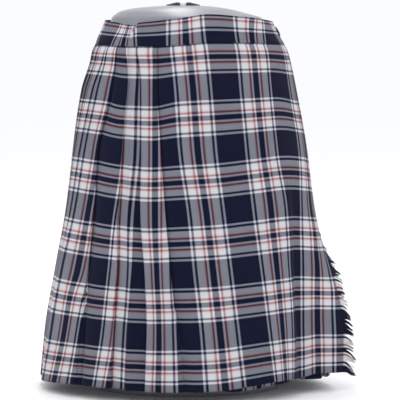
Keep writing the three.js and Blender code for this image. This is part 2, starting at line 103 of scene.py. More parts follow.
def tween(rows, key, column, place):
    """Smooth curve through a table's rows: one column's value at a place along the key column."""
    if rows[0][key] > rows[-1][key]:
        rows = rows[::-1]
    last = len(rows) - 1
    if place <= rows[0][key]:
        return rows[0][column]
    if place >= rows[last][key]:
        return rows[last][column]
    i = 0
    while place > rows[i + 1][key]:
        i += 1

    def slope(a, b):
        return (rows[b][column] - rows[a][column]) / (rows[b][key] - rows[a][key])

    here = slope(i, i + 1)

    def soften(other):
        return 2 * here * other / (here + other) if here * other > 0 else 0

    start = soften(slope(i - 1, i)) if i > 0 else here
    end = soften(slope(i + 1, i + 2)) if i + 1 < last else here
    span = rows[i + 1][key] - rows[i][key]
    f = (place - rows[i][key]) / span
    blend = f * f * (3 - 2 * f)
    base = rows[i][column] + (rows[i + 1][column] - rows[i][column]) * blend
    return base + f * (1 - f) * span * ((1 - f) * start - f * end)


def hex_colour(code):
    """sRGB hex to the linear colour that a shader takes."""
    parts = [int(code[i : i + 2], 16) / 255 for i in (1, 3, 5)]
    return [c / 12.92 if c <= 0.04045 else ((c + 0.055) / 1.055) ** 2.4 for c in parts] + [1]


def add_node(tree, kind, inputs=None, **settings):
    """Adds one node with its settings; inputs maps each socket to a value or an output to link."""
    node = tree.nodes.new(kind)
    for name, value in settings.items():
        setattr(node, name, value)
    for socket, value in (inputs or {}).items():
        if isinstance(value, bpy.types.NodeSocket):
            tree.links.new(value, node.inputs[socket])
        else:
            node.inputs[socket].default_value = value
    return node


def new_material(name):
    """A material with its Principled shader alone: (material, tree, shader)."""
    material = bpy.data.materials.new(name)
    material.use_nodes = True
    tree = material.node_tree
    tree.nodes.clear()
    shader = add_node(tree, "ShaderNodeBsdfPrincipled")
    add_node(tree, "ShaderNodeOutputMaterial", {"Surface": shader.outputs[0]})
    return material, tree, shader


# Flow marks in moulded plastic, about 110 mm apart, and how far they shift its colour and roughness
FLOW_MARKS_PER_METRE = 9
FLOW_SHADE = 0.06
FLOW_GLOSS = 0.05
GRAIN_DEPTH_MM = 0.15


def moulded_plastic(name, colour, roughness, grain_mm):
    """Moulded plastic: even colour, faint flow marks and a fine grain that softens its shine."""
    material, tree, shader = new_material(name)
    place = add_node(tree, "ShaderNodeTexCoord").outputs["Object"]
    flow = add_node(
        tree,
        "ShaderNodeTexNoise",
        {"Vector": place, "Scale": FLOW_MARKS_PER_METRE, "Detail": 3.0, "Roughness": 0.5},
    )
    shade = add_node(
        tree,
        "ShaderNodeMapRange",
        {"Value": flow.outputs[0], "To Min": 1 - FLOW_SHADE, "To Max": 1 + FLOW_SHADE},
    )
    tint = add_node(
        tree,
        "ShaderNodeMix",
        {"Factor": 1.0, "A": hex_colour(colour), "B": shade.outputs[0]},
        data_type="RGBA",
        blend_type="MULTIPLY",
    )
    gloss = add_node(
        tree,
        "ShaderNodeMapRange",
        {
            "Value": flow.outputs[0],
            "To Min": roughness - FLOW_GLOSS,
            "To Max": roughness + FLOW_GLOSS,
        },
    )
    grain = add_node(
        tree,
        "ShaderNodeTexNoise",
        {"Vector": place, "Scale": 1 / (grain_mm * MM), "Detail": 2.0},
    )
    bump = add_node(
        tree,
        "ShaderNodeBump",
        {"Height": grain.outputs[0], "Strength": 0.12, "Distance": GRAIN_DEPTH_MM * MM},
    )
    tree.links.new(tint.outputs["Result"], shader.inputs["Base Color"])
    tree.links.new(gloss.outputs[0], shader.inputs["Roughness"])
    tree.links.new(bump.outputs[0], shader.inputs["Normal"])
    shader.inputs["IOR"].default_value = 1.49
    return material


def finish_piece(name, bm, material, slot, *nodes):
    """Turns a bmesh in millimetres into a piece that rides on the part, in its CAD nodes' place."""
    bmesh.ops.scale(bm, vec=(MM, MM, MM), verts=bm.verts)
    mesh = bpy.data.meshes.new(name)
    bm.to_mesh(mesh)
    bm.free()
    mesh.shade_smooth()
    piece = bpy.data.objects.new(name, mesh)
    bpy.context.scene.collection.objects.link(piece)
    mesh.materials.append(material)
    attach(piece, "root")
    if nodes:
        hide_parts(*nodes)
    return piece


FORM_SIDES = 128
FORM_LEVELS = 100
FORM_TOP = FORM[-1]["z"]
# The levels crowd towards the top, where the form is round
FORM_CROWDING = 2.2


def upright_edges(bm):
    """The edges that run up a cone one unit tall."""
    return [e for e in bm.edges if abs(e.verts[0].co.z - e.verts[1].co.z) > 0.5]


def build_form():
    bm = bmesh.new()
    bmesh.ops.create_cone(bm, cap_ends=True, segments=FORM_SIDES, radius1=1, radius2=1, depth=1)
    bmesh.ops.subdivide_edges(bm, edges=upright_edges(bm), cuts=FORM_LEVELS - 1)
    for vert in bm.verts:
        up = vert.co.z + 0.5
        z = FORM_TOP * (1 - (1 - up) ** FORM_CROWDING)
        width = tween(FORM, "z", "width", z)
        depth = tween(FORM, "z", "depth", z)
        vert.co = (tween(FORM, "z", "shift", z) + width * vert.co.x, depth * vert.co.y, z)
    return bm


# Moulded polythene, buffed to a satin skin: it blurs the light overhead into one soft highlight
form_plastic = moulded_plastic("satin_moulded_polythene", "#83848b", 0.3, grain_mm=0.8)
hip_form = finish_piece("form_shell", build_form(), form_plastic, "form", "hip_form")

# ----------------------------------------------------------
# Fitting on the form's top: a low dark grey nylon cap, moulded as a collar that is open at its
# front, with a small white boss in its middle, where a stand's pole or a hook is screwed in.

BOSS_RADIUS = 6
BOSS_HEIGHT = 5.5
BOSS_ROUND = 0.6
FITTING_SEAT = FORM_TOP + 0.3
FITTING_X = FORM[-1]["shift"]
CAP_OPENING = math.radians(112)
CAP_STEPS = 64

# The cap's section, from its hole out to the rim and back up its slope
CAP_SECTION = table(
    "radius height",
    (6.4, 0),
    (27.5, 0),
    (28, 0.5),
    (28, 1.21),
    (27.4, 1.65),
    (12.88, 5.225),
    (11.2, 5.5),
    (7.2, 4.565),
    (6.4, 4.18),
)


def build_cap():
    bm = bmesh.new()
    verts = [bm.verts.new((0, -row["radius"], row["height"])) for row in CAP_SECTION]
    section = bm.faces.new(verts)
    to_side = Matrix.Rotation(CAP_OPENING / 2, 3, "Z")
    bmesh.ops.rotate(bm, cent=(0, 0, 0), matrix=to_side, verts=verts)
    bmesh.ops.spin(
        bm,
        geom=[section],
        axis=(0, 0, 1),
        cent=(0, 0, 0),
        angle=math.tau - CAP_OPENING,
        steps=CAP_STEPS,
    )
    bmesh.ops.recalc_face_normals(bm, faces=bm.faces)
    bmesh.ops.translate(bm, vec=(FITTING_X, 0, FITTING_SEAT), verts=bm.verts)
    return bm


def build_boss():
    bm = bmesh.new()
    bmesh.ops.create_cone(
        bm, cap_ends=True, segments=48, radius1=BOSS_RADIUS, radius2=BOSS_RADIUS, depth=BOSS_HEIGHT
    )
    rims = [e for e in bm.edges if abs(e.verts[0].co.z - e.verts[1].co.z) < 0.1]
    bmesh.ops.bevel(
        bm, geom=rims, offset=BOSS_ROUND, segments=3, affect="EDGES", profile=0.5, material=-1
    )
    bmesh.ops.translate(bm, vec=(FITTING_X, 0, FITTING_SEAT + BOSS_HEIGHT / 2), verts=bm.verts)
    return bm


# Moulded nylon: duller than the form, with the fine grain of its mould
cap_plastic = moulded_plastic("dark_moulded_nylon", "#4a4c50", 0.45, grain_mm=0.5)
boss_plastic = moulded_plastic("white_moulded_nylon", "#f8f8f8", 0.4, grain_mm=0.5)
finish_piece("form_fitting", build_cap(), cap_plastic, "cap", "form_cap")
finish_piece("fitting_boss", build_boss(), boss_plastic, "boss", "form_boss")

# ----------------------------------------------------------
# Pleated panel: from viewer's left front round the back to the wearer's left side, one length of
# wool-look twill tartan, folded into soft pleats and caught in the waistband. The folds are pressed
# at the top only, so they open towards the hem.

# Thickness of the cloth, gap to the band and between layers, how far the last pleat runs on
# under fold f1, and gap between two ends of cloth
CLOTH = 1.0
SEAM_GAP = 0.35
SEAM_END = 1.2
END_GAP = 0.6
WAIST_Z = 567
HEM_Z = 18
BACK_PLEATS = 15
FIRST_PLEAT_BEARING = 76
SIDE_SEAM = 62
PLEAT_ROWS = 112
# Cloth between the side seam and the first pleat
SIDE_SEAM_CLOTH = 30
# Bearings over which the over-apron's lap on the pleats runs out, and those of the left back corner
# and of the valley beside the loose flap, each with its width in degrees
LAP_START, LAP_END = 112, 128
CORNER, CORNER_WIDTH = 252, 12
VALLEY, VALLEY_WIDTH = 55, 9

# Outer face of the skirt: half widths to each side and half depths
OUTLINE = table(
    "z left right front back",
    (622, 130, 132, 94, 94),
    (608, 136, 138, 98.5, 95),
    (588, 144, 147, 102, 99),
    (580, 148, 151.5, 103.4, 101),
    (568, 152.5, 159, 107, 104.5),
    (558, 157.5, 164, 110, 108),
    (541, 161, 169, 114, 116),
    (494, 175.5, 179, 124, 131),
    (398, 190, 196.5, 133, 145),
    (300, 202, 208, 146, 154),
    (204, 219, 225, 158, 164),
    (105, 235.5, 236, 168, 172),
    (10, 244, 243, 175, 180),
)

# Step from layer to layer in a pleat, width over which a face climbs from under its neighbour,
# depth under the aprons, depth of the valley beside the loose flap, reach of the left back corner
DRAPE = table(
    "z step rise lap valley corner",
    (567, 1.35, 5, 3.1, 0, 0),
    (494, 2.0, 8, 3.4, 0, 0),
    (398, 2.4, 11, 3.8, 0, 0),
    (300, 2.8, 14, 4.4, 6, 0),
    (204, 3.2, 17, 5.0, 12, 3),
    (105, 3.6, 20, 5.6, 19, 9),
    (18, 4.0, 22, 6.0, 25, 12),
)

# Bearing of each fold edge at viewer's left, from the side to the apron
FOLD_BEARING = table(
    "z f5 f4 f3 f2 f1",
    (567, 301, 311.4, 320.7, 328.3, 341.2),
    (494, 299.5, 314.5, 326.2, 334, 343.6),
    (398, 294, 309.5, 325.8, 336, 346.6),
    (300, 289, 310, 325.7, 337.7, 349.5),
    (204, 283, 311.4, 328.2, 341.4, 352.7),
    (105, 280, 312, 329, 343.5, 355.4),
    (18, 273, 311, 329, 343.5, 356.2),
)

# Underlap hidden behind each fold edge; below zero the fold has opened into a soft step
UNDERLAP = table(
    "z back f5 f4 f3 f2 f1",
    (567, 16, 13, 12, 12, 12, 12),
    (494, 16, 14, 14, 14, 13, 13),
    (398, 15, 14, 12, 14, 13, 12),
    (300, 13, 12, 8, 12, 12, 9),
    (204, 10, 10, 3, 10, 11, 5),
    (105, 8, 8, -5, 8, 10, -4),
    (18, 6, 6, -8, 4, 9, -8),
)

# Place on the cloth, along the weft from the over-apron's pattern start, where the face at the left
# of each fold ends (_end) and the face at its right starts (_start). The face between f5 and f4
# turns away at f5, where its cloth is drawn together: f4_bend is the power of that.
FOLD_CLOTH = table(
    "z f5_end f4_bend f4_end f4_start f3_end f3_start f2_end f2_start f1_end f1_start",
    (567, -328, 1, -253.5, -188, -168, -126, -112.5, -54, -31, 28),
    (494, -322, 1.1, -250, -208, -171, -124, -109, -56.5, -29, 19),
    (398, -320, 1.2, -249, -214, -171.5, -129, -107, -56.5, -23, 18),
    (300, -320, 1.35, -239.5, -214.5, -163.5, -131, -98, -54, -16, 11),
    (204, -319, 1.5, -232.5, -216, -153, -130, -89, -54, -6, 10),
    (155, -318, 1.7, -219, -216, -150, -129, -84, -54, -3, 5),
    (105, -318, 1.85, -213.5, -213.5, -148, -128, -79, -54, 0, 0),
    (18, -318, 1.6, -207, -207, -136, -128, -77, -52, 0, 0),
)
F5_START = -278
BACK_TAKE_UP = 76

# Which face lies on top at each front fold: 1 for the one at its left, -1 for the one at its right
FRONT_FOLDS = {"f5": -1, "f4": 1, "f3": 1, "f2": -1, "f1": 1}

# Lower and upper edge of the waistband round the body
BAND_EDGES = table(
    "bearing bottom top",
    (-180, 568, 606),
    (-90, 568, 608),
    (-60, 567.5, 605),
    (-48, 567, 602),
    (-39, 566.5, 600),
    (-36, 566.5, 604),
    (-25, 566.5, 606.5),
    (-5, 569, 612),
    (14, 573, 618),
    (40, 572, 614),
    (90, 569, 606),
    (180, 568, 606),
)

# Height of the hem along the spiral
HEM = table(
    "bearing z",
    (60, 22),
    (80, 22),
    (115, 18),
    (180, 20),
    (240, 23),
    (256, 23),
    (266, 17),
    (273, 13.5),
    (290, 17),
    (310, 21),
    (327, 21),
    (340, 18),
    (352, 17.5),
    (370, 19),
    (384, 25),
    (393, 29),
    (402, 30.8),
    (416, 27.5),
    (425, 32.5),
    (435.1, 32),
)

# Heights of three weft lines round the body, each the lower edge of a wide navy stripe. They dip
# where the cloth hangs free and rise where the hip lifts it.
WEFT_LINES = table(
    "bearing upper middle lower",
    (-180, 481.7, 384.2, 187.8),
    (-130, 481.7, 384.2, 187.8),
    (-88, 480, 385, 187.5),
    (-70, 480, 385, 187),
    (-50, 478.5, 382.5, 185.5),
    (-35, 472, 377.5, 183.6),
    (-18, 471.5, 374.2, 180.6),
    (-5, 479, 377.4, 182.8),
    (13, 482, 380.8, 186),
    (29, 483.3, 385.6, 190.6),
    (50, 484.6, 390, 194.6),
    (76, 476.5, 383.5, 188),
    (90, 475.7, 378.5, 186),
    (130, 479.7, 382.2, 187.8),
    (180, 481.7, 384.2, 187.8),
)
WEFT_REPEAT = 98.4
WEFT_START = -31.1
UPPER_LINE = WEFT_START + 5 * WEFT_REPEAT
MIDDLE_LINE = WEFT_START + 4 * WEFT_REPEAT
LOWER_LINE = WEFT_START + 2 * WEFT_REPEAT
SEAM_LINE = 555


def smooth(start, end, value):
    """0 before start, 1 after end, and a soft step between them."""
    f = min(max((value - start) / (end - start), 0), 1)
    return f * f * (3 - 2 * f)


def hump(centre, width, value):
    """1 at the centre, fading to 0 on both sides."""
    return math.exp(-(((value - centre) / width) ** 2))


def turn(bearing):
    """Bearing brought into the range -180 to 180."""
    return (bearing + 180) % 360 - 180


def lookup(rows, key, column, low, high):
    """A table's curve read once at each whole step, for places asked many times."""
    values = [tween(rows, key, column, place) for place in range(low, high + 2)]

    def at(place):
        place = min(max(place, low), high) - low
        i = int(place)
        return values[i] + (values[i + 1] - values[i]) * (place - i)

    return at


TALLEST = 640
SIDES = {
    side: lookup(OUTLINE, "z", side, 0, TALLEST) for side in ("left", "right", "front", "back")
}
band_bottom = lookup(BAND_EDGES, "bearing", "bottom", -180, 180)
band_top = lookup(BAND_EDGES, "bearing", "top", -180, 180)
LINES = {
    line: lookup(WEFT_LINES, "bearing", line, -180, 180) for line in ("upper", "middle", "lower")
}
hem_height = lookup(HEM, "bearing", "z", 60, 435)
step_at, rise_at, lap_at, valley_at, corner_at = (
    lookup(DRAPE, "z", name, 0, TALLEST) for name in ("step", "rise", "lap", "valley", "corner")
)


def on_outline(bearing, z, out=0.0):
    """Point of the outline at a bearing and height, moved out by a distance."""
    angle = math.radians(bearing)
    sin, cos = math.sin(angle), math.cos(angle)
    a = SIDES["left" if sin < 0 else "right"](z)
    b = SIDES["front" if cos > 0 else "back"](z)
    nx, ny = sin / a, -cos / b
    size = math.hypot(nx, ny)
    return a * sin + nx / size * out, -b * cos + ny / size * out


def degrees(length, bearing, z):
    """Degrees of bearing that a length along the outline takes."""
    return length / math.dist(on_outline(bearing - 0.5, z), on_outline(bearing + 0.5, z))


OUTLINE_SAMPLES = 90


def even_bearings(start, end, count, z):
    """Bearings that split the outline between two bearings into equal lengths."""
    stops = [start + (end - start) * i / OUTLINE_SAMPLES for i in range(OUTLINE_SAMPLES + 1)]
    lengths = [0.0]
    for a, b in zip(stops, stops[1:]):
        lengths.append(lengths[-1] + math.dist(on_outline(a, z), on_outline(b, z)))
    found = []
    i = 1
    for n in range(count):
        goal = lengths[-1] * n / count
        while lengths[i] < goal:
            i += 1
        part = (goal - lengths[i - 1]) / (lengths[i] - lengths[i - 1])
        found.append(stops[i - 1] + (stops[i] - stops[i - 1]) * part)
    return found


def along_warp(bearing, z, hem):
    """Place on the cloth up the warp, from the hem fold, read from the weft lines' heights."""
    t = turn(bearing)
    marks = (
        (hem, 0),
        (LINES["lower"](t), LOWER_LINE),
        (LINES["middle"](t), MIDDLE_LINE),
        (LINES["upper"](t), UPPER_LINE),
        (band_bottom(t), SEAM_LINE),
    )
    i = 0
    while i < len(marks) - 2 and z > marks[i + 1][0]:
        i += 1
    (z0, v0), (z1, v1) = marks[i], marks[i + 1]
    return v0 + (v1 - v0) * (z - z0) / (z1 - z0)


# Soft troughs (depth below zero) and ridges, each from one bearing and height to another
CREASES = table(
    "from_bearing from_z to_bearing to_z width depth",
    (-3, 560, 2, 300, 9, -0.9),
    (14, 563, 11, 420, 7, 0.8),
    (30, 520, 22, 120, 12, -1.0),
    (44, 560, 38, 380, 8, 0.7),
    (52, 430, 33, 200, 10, -0.9),
    (6, 240, 8, 25, 11, 1.4),
    (20, 190, 24, 22, 10, -1.6),
    (34, 210, 38, 25, 12, 1.6),
    (48, 250, 51, 40, 8, -1.6),
    (-14, 350, -12, 60, 8, -0.9),
    (-30, 430, -27, 150, 7, 0.8),
    (-45, 520, -52, 120, 9, -0.9),
    (-70, 480, -78, 90, 9, 1.0),
    (100, 520, 104, 200, 10, -1.0),
    (128, 420, 124, 60, 9, 1.1),
    (150, 540, 154, 250, 8, -0.8),
    (176, 360, 170, 50, 10, -1.1),
    (-160, 500, -154, 220, 9, 0.9),
    (-130, 330, -136, 40, 10, -1.2),
    (-108, 540, -112, 300, 8, 0.8),
)

# Length of a degree of the outline, how many widths away a crease still counts, how soon it fades
# at its two ends, and the share of the cloth's length over which creases fade in below the band
MM_PER_DEGREE = 2.9
CREASE_REACH = 3
CREASE_ENDS = 0.7
CREASE_FADE = 0.06


def crease_depth(bearing, z):
    """How far the soft creases move the cloth out at a place."""
    t = turn(bearing)
    moved = 0.0
    for row in CREASES:
        f = (row["from_z"] - z) / (row["from_z"] - row["to_z"])
        if not 0 < f < 1:
            continue
        away = abs(t - (row["from_bearing"] + (row["to_bearing"] - row["from_bearing"]) * f))
        across = away * MM_PER_DEGREE / row["width"]
        if across < CREASE_REACH:
            along = math.sin(math.pi * f) ** CREASE_ENDS
            moved += row["depth"] * math.exp(-across * across) * along
    return moved


def valley_depth(bearing, z):
    """How deep the valley beside the loose flap presses the layers under it."""
    return valley_at(z) * hump(VALLEY, VALLEY_WIDTH, turn(bearing))


# Cloth turned at a fold: the share of the layer step that its roll takes, the room left to the face
# beside it, and the least bearing between two stops of the roll
ROLL_SHARE = 0.35
FOLD_CLEARANCE = 0.6
LEAST_ROLL = 0.02
# Below this underlap a fold's roll starts to open
OPENING_UNDERLAP = 4
# Depth of a face in layers of cloth: halfway up from under its neighbour and once it has risen. A
# face that dips under both neighbours stays sunk, and one on top is crowned in its middle.
RISING, RISEN = 1.1, 0.3
SUNK_RISING, SUNK_RISEN = 1.8, 1.6
CROWN = 0.1
UNDER_LAYER = 2
# Shares of a face's width at which it has a stop; the face that is drawn together at f5 needs more
FACE_SHARES = (0.5,)
DRAWN_FACE_SHARES = (0.15, 0.3, 0.5, 0.7, 0.85)


def fold_places(z):
    """The folds of one row: (bearing, hand, underlap, left face's end, right face's start)."""
    side = tween(FOLD_BEARING, "z", "f5", z)
    side_end = tween(FOLD_CLOTH, "z", "f5_end", z)
    back_lap = tween(UNDERLAP, "z", "back", z)
    width = (side - FIRST_PLEAT_BEARING) / BACK_PLEATS / degrees(1, 180, z)
    folds = []
    for n, bearing in enumerate(even_bearings(FIRST_PLEAT_BEARING, side, BACK_PLEATS, z)):
        start = side_end - width - BACK_TAKE_UP * (BACK_PLEATS - 1 - n)
        folds.append((bearing, -1, back_lap, start - BACK_TAKE_UP + width, start))
    for name, hand in FRONT_FOLDS.items():
        bearing, underlap = tween(FOLD_BEARING, "z", name, z), tween(UNDERLAP, "z", name, z)
        end = tween(FOLD_CLOTH, "z", name + "_end", z)
        start = F5_START if name == "f5" else tween(FOLD_CLOTH, "z", name + "_start", z)
        folds.append((bearing, hand, underlap, end, start))
    return folds


def pleat_stops(z):
    """One row of the pleated panel: (bearing, distance out, place on the weft, parts before it)."""
    step, rise = step_at(z), rise_at(z)
    roll = ROLL_SHARE * step
    folds = fold_places(z)
    side, f4 = (tween(FOLD_BEARING, "z", name, z) for name in ("f5", "f4"))
    f4_bend = tween(FOLD_CLOTH, "z", "f4_bend", z)
    stops = []

    def add(bearing, shift, layer, cloth, parts):
        place = bearing + degrees(shift, bearing, z)
        lapped = 1 - smooth(LAP_START, LAP_END, place)
        corner = corner_at(z) * hump(CORNER, CORNER_WIDTH, place)
        face = corner - lap_at(z) * lapped - valley_depth(place, z)
        stops.append((place, face - layer * step, cloth, parts))

    before, before_cloth = SIDE_SEAM, folds[0][3] - SIDE_SEAM_CLOTH
    add(SIDE_SEAM, 0, UNDER_LAYER, before_cloth, 1)
    low = True
    for fold, hand, underlap, cloth_end, cloth_start in folds:
        bend = f4_bend if fold == f4 else 1

        def face_cloth(bearing, shift):
            share = (bearing + degrees(shift, bearing, z) - before) / (fold - before)
            return before_cloth + (cloth_end - before_cloth) * max(share, 0) ** bend

        # The face, from under its neighbour or from on top of it, up to the fold
        sunk = low and hand < 0 and before > side
        rising, risen = (SUNK_RISING, SUNK_RISEN) if sunk else (RISING, RISEN)
        if low:
            add(before, rise * 0.5, rising, face_cloth(before, rise * 0.5), 2)
            add(before, rise, risen, face_cloth(before, rise), 2)
        for share in DRAWN_FACE_SHARES if fold == f4 else FACE_SHARES:
            place = before + (fold - before) * share
            crown = 0 if low else CROWN * (1 - abs(2 * share - 1))
            add(place, 0, -crown, face_cloth(place, 0), 3)
        if hand < 0:
            add(fold, -rise, risen, face_cloth(fold, -rise), 3)
            add(fold, -FOLD_CLEARANCE, UNDER_LAYER, cloth_end, 3)

        # The fold's edge, its underlap and the turn at the underlap's inner end: (shift, layer)
        closed = min(max(underlap / OPENING_UNDERLAP, -1), 1)
        turned = [
            (-roll, 0),
            (-roll * 0.3, 0.15),
            (0, 0.5),
            (-roll * 0.3 * closed, 0.85),
            (-roll * closed, 1),
            (-underlap + roll * closed, 1),
            (-underlap, 1.5),
            (-underlap + roll, UNDER_LAYER),
        ]
        if hand < 0:
            turned.reverse()
        places = [fold + degrees(shift * hand, fold, z) for shift, layer in turned]
        walked = [0.0]
        for a, b in zip(places, places[1:]):
            walked.append(walked[-1] + max(abs(b - a), LEAST_ROLL))
        if underlap < 0 < hand:
            cloths = [cloth_end + (place - fold) / degrees(1, fold, z) for place in places]
        else:
            cloths = [cloth_end + (cloth_start - cloth_end) * w / walked[-1] for w in walked]
        for k, ((shift, layer), cloth) in enumerate(zip(turned, cloths)):
            add(fold, shift * hand, layer, cloth, 3 if k == 0 and hand > 0 else 1)

        low = hand > 0
        if fold == folds[-1][0]:
            add(fold, -underlap + roll + SEAM_END, UNDER_LAYER, cloths[-1] + SEAM_END, 1)
        elif low:
            shift = max(FOLD_CLEARANCE, roll - underlap + FOLD_CLEARANCE)
            add(fold, shift, UNDER_LAYER, cloth_start + (shift if underlap < 0 else 0), 1)
        before, before_cloth = fold, cloth_start
    return stops


def fill_stops(stops):
    """One row's stops with the parts between them filled in: (bearing, out, place on the weft)."""
    filled = [stops[0][:3]]
    for a, b in zip(stops, stops[1:]):
        for n in range(1, b[3] + 1):
            f = n / b[3]
            filled.append(tuple(a[k] + (b[k] - a[k]) * f for k in range(3)))
    return filled


def row_height(share, bearing, hem):
    """Height of a row at a bearing: the first follows the band and the last the hem."""
    top = band_bottom(turn(bearing)) - SEAM_GAP
    return top + (hem - top) * share


def cloth_points(rows, stops_at, hem_at):
    """Every point of a cloth, row by row from the band to the hem: (x, y, z, u, v)."""
    grid = []
    for i in range(rows):
        share = i / (rows - 1)
        line = []
        for bearing, out, cloth in fill_stops(stops_at(WAIST_Z + (HEM_Z - WAIST_Z) * share)):
            hem = hem_at(bearing)
            z = row_height(share, bearing, hem)
            crease = crease_depth(bearing, z) * smooth(0, CREASE_FADE, share)
            x, y = on_outline(bearing, z, out + crease - CLOTH / 2)
            line.append((x, y, z, cloth, along_warp(bearing, z, hem)))
        grid.append(line)
    return grid


def cloth_mesh(grid):
    """A sheet of cloth from its grid of points; its UV map is the place on the cloth in metres."""
    rows, columns = len(grid), len(grid[0])
    bm = bmesh.new()
    bmesh.ops.create_grid(bm, x_segments=columns - 1, y_segments=rows - 1, size=0.5)
    layer = bm.loops.layers.uv.new("cloth")
    places = {}
    for vert in bm.verts:
        j = round((vert.co.x + 0.5) * (columns - 1))
        i = round((0.5 - vert.co.y) * (rows - 1))
        x, y, z, u, v = grid[i][j]
        vert.co = (x, y, z)
        places[vert.index] = (u * MM, v * MM)
    for face in bm.faces:
        for loop in face.loops:
            loop[layer].uv = places[loop.vert.index]
    return bm


def thicken(piece, thickness):
    shell = piece.modifiers.new("thickness", "SOLIDIFY")
    shell.thickness = thickness * MM
    shell.offset = 0


NAVY = "#0e1228"
WHITE = "#c6c6cb"
TAN = "#bbb29f"
RED = "#86303e"

# Stripes across the cloth (warp) and up the cloth (weft), in the order they are woven
WARP_STRIPES = (
    (NAVY, 46.0),
    (WHITE, 3.7),
    (NAVY, 3.7),
    (WHITE, 10.4),
    (TAN, 2.0),
    (RED, 2.8),
    (WHITE, 3.3),
    (NAVY, 10.2),
    (WHITE, 3.3),
    (RED, 2.8),
    (TAN, 2.0),
    (WHITE, 10.4),
    (NAVY, 3.7),
    (WHITE, 3.7),
)
WEFT_STRIPES = (
    (NAVY, 43.2),
    (WHITE, 3.45),
    (NAVY, 3.6),
    (WHITE, 8.4),
    (TAN, 2.0),
    (RED, 2.95),
    (WHITE, 3.1),
    (NAVY, 8.2),
    (WHITE, 3.1),
    (RED, 2.95),
    (TAN, 2.0),
    (WHITE, 8.4),
    (NAVY, 3.6),
    (WHITE, 3.45),
)
# Real yarns lie about 0.5 mm apart; drawn at 0.9 so that the twill's slant shows. In a two-over-two
# twill the slant repeats after four yarns, and the yarn on top gives most of the colour; the split
# is between the quarters of the repeat with warp on top and those with weft.
YARN_MM = 0.9
TWILL_REPEAT = 4
TWILL_SPLIT = 0.4
YARN_UNDER, YARN_OVER = 0.3, 0.7
DISPLAY_GAMMA = 2.2
# Loose hairs 2.4 mm apart and cloudy dyeing 45 mm apart, drawn as coarse as they need to show
HAIRS_PER_METRE = 420
CLOUDS_PER_METRE = 22
DYE_SHADE = 0.2
WEAVE_DEPTH_MM = 0.25


def stripes(tree, place, start_mm, pattern):
    """Colour of the striped yarns at a place, in metres, along one direction of the cloth."""
    repeat = sum(width for colour, width in pattern)
    turned = add_node(
        tree,
        "ShaderNodeMath",
        {0: place, 1: 1 / (repeat * MM), 2: -start_mm / repeat},
        operation="MULTIPLY_ADD",
    )
    share = add_node(tree, "ShaderNodeMath", {0: turned.outputs[0]}, operation="FRACT")
    ramp = add_node(tree, "ShaderNodeValToRGB", {"Fac": share.outputs[0]})
    ramp.color_ramp.interpolation = "CONSTANT"
    stops = ramp.color_ramp.elements
    edge_mm = 0.0
    for n, (colour, width) in enumerate(pattern):
        stop = stops[0] if n == 0 else stops.new(edge_mm / repeat)
        stop.position = edge_mm / repeat
        stop.color = hex_colour(colour)
        edge_mm += width
    while len(stops) > len(pattern):
        stops.remove(stops[-1])
    return ramp.outputs[0]


